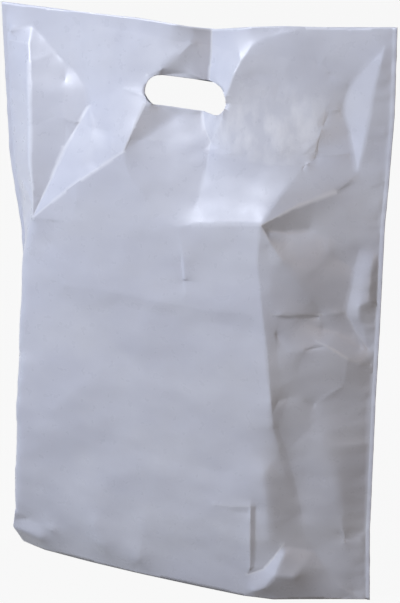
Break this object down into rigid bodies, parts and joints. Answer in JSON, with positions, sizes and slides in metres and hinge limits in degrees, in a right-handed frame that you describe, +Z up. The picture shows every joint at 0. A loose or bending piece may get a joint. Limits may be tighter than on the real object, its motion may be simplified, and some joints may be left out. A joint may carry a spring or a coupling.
{
  "type": "plastic carrier bag",
  "caption": "Thin film carrier bag standing on its opened bottom gusset, with a punched oblong hand slot, glued reinforcing patches and welded sides",
  "frame": {"origin": "on the floor under the middle of the bag, in the plane of the two side welds", "axes": "+X to the right along the mouth as seen from the front, +Y to the back, +Z up; the front wall faces -Y"},
  "size_m": [0.376, 0.0956, 0.524],
  "materials": {
    "film": "semi-gloss milky film",
    "patch": "milky film seen through the wall"
  },
  "bodies": {
    "root": {"bag": "film", "front_patch": "patch", "back_patch": "patch"}
  },
  "joints": []
}
